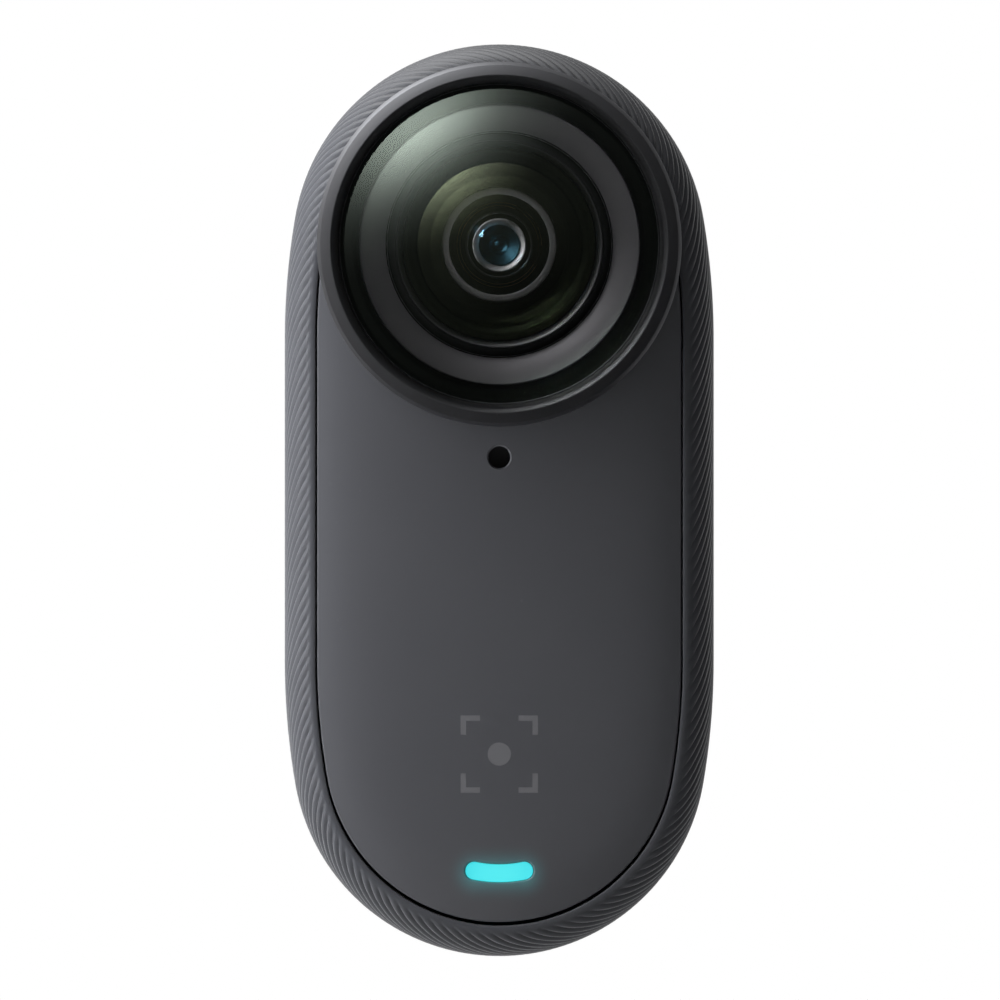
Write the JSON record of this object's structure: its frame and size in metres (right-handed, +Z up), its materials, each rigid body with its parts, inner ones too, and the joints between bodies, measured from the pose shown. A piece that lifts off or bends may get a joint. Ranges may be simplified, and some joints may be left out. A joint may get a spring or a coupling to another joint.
{
  "type": "wearable action camera",
  "caption": "Thumb-sized wearable action camera: pill-shaped body, screw-on domed lens guard, rocking front panel as shutter button, side power button and magnetic flat back.",
  "frame": {"origin": "centre of the flat rear face, half way up the body", "axes": "+Z up along the body's length, +Y out of the rear face so the lens looks along -Y, +X to the right seen from the front"},
  "size_m": [0.0256, 0.0248, 0.0544],
  "materials": {
    "soft_touch_shell": "fine diagonal ribs, soft matte",
    "cover_plastic": "satin matte",
    "black_rubber": "matte",
    "cyan_light": "diffusing",
    "black_plastic": "matte black",
    "steel": "satin",
    "guard_metal": "dark anodised, satin",
    "lens_glass": "polished, coated",
    "face_plastic": "matte grey",
    "chip_epoxy": "moulded epoxy",
    "circuit_board": "solder mask",
    "flex_film": "amber film",
    "battery_wrap": "satin wrap",
    "gold_plate": "polished gold plate",
    "magnet_nickel": "nickel plate",
    "button_plastic": "satin"
  },
  "bodies": {
    "camera_body": {"side_shell": "soft_touch_shell", "rear_cover": "cover_plastic", "rear_gasket": "black_rubber", "front_chassis": "black_plastic", "chassis_screw_1": "steel", "chassis_screw_2": "steel", "chassis_screw_3": "steel", "chassis_screw_4": "steel", "rocker_pin_left": "steel", "rocker_pin_right": "steel", "lens_collar": "black_plastic", "lens_barrel": "black_plastic", "lens_face_ring": "face_plastic", "front_element_retainer": "black_plastic", "front_element": "lens_glass", "inner_cell_ring": "face_plastic", "second_element": "lens_glass", "rear_element": "lens_glass", "infrared_filter": "lens_glass", "image_sensor": "chip_epoxy", "sensor_board": "circuit_board", "sensor_flex": "flex_film", "main_board": "circuit_board", "processor_shield": "steel", "memory_chip": "chip_epoxy", "battery": "battery_wrap", "heat_spreader": "steel", "key_board": "circuit_board", "shutter_switch": "chip_epoxy", "status_led": "cyan_light", "microphone": "steel", "microphone_mesh": "steel", "speaker": "black_plastic", "speaker_mesh": "steel", "antenna": "gold_plate", "magnet_upper": "magnet_nickel", "magnet_lower": "magnet_nickel", "charging_contact_1": "gold_plate", "charging_contact_2": "gold_plate", "charging_contact_3": "gold_plate", "charging_contact_4": "gold_plate", "charging_contact_5": "gold_plate", "contact_board": "circuit_board", "power_switch": "chip_epoxy", "side_key_board": "circuit_board"},
    "shutter_panel": {"front_panel": "cover_plastic", "status_light_guide": "cyan_light"},
    "shutter_key": {"shutter_plunger": "steel"},
    "power_key": {"power_button": "button_plastic", "power_plunger": "steel"},
    "guard_seal_body": {"guard_seal": "black_rubber"},
    "lens_guard": {"guard_ring": "guard_metal", "guard_glass": "lens_glass"}
  },
  "joints": [
    {"name": "shutter_press", "type": "hinge", "parent": "camera_body", "child": "shutter_panel", "pos_m": [0, -0.01355, 0.00635], "axis": [1, 0, 0], "range_deg": [0, 0.6], "stiffness_Nm_per_rad": 3},
    {"name": "shutter_key_slide", "type": "slide", "parent": "camera_body", "child": "shutter_key", "axis": [0, 1, 0], "range_m": [0, 0.00026]},
    {"name": "power_press", "type": "slide", "parent": "camera_body", "child": "power_key", "axis": [-1, 0, 0], "range_m": [0, 0.0003], "stiffness_N_per_m": 6000},
    {"name": "guard_lift", "type": "slide", "parent": "camera_body", "child": "guard_seal_body", "axis": [0, -1, 0], "range_m": [0, 0.00268]},
    {"name": "guard_turn", "type": "hinge", "parent": "guard_seal_body", "child": "lens_guard", "pos_m": [0, -0.0205, 0.0152], "axis": [0, -1, 0], "range_deg": [0, 120]}
  ],
  "couplings": [
    {"joint": "shutter_key_slide", "follows": "shutter_press", "m_per_rad": 0.018},
    {"joint": "guard_lift", "follows": "guard_turn", "m_per_rad": 0.0012732}
  ]
}
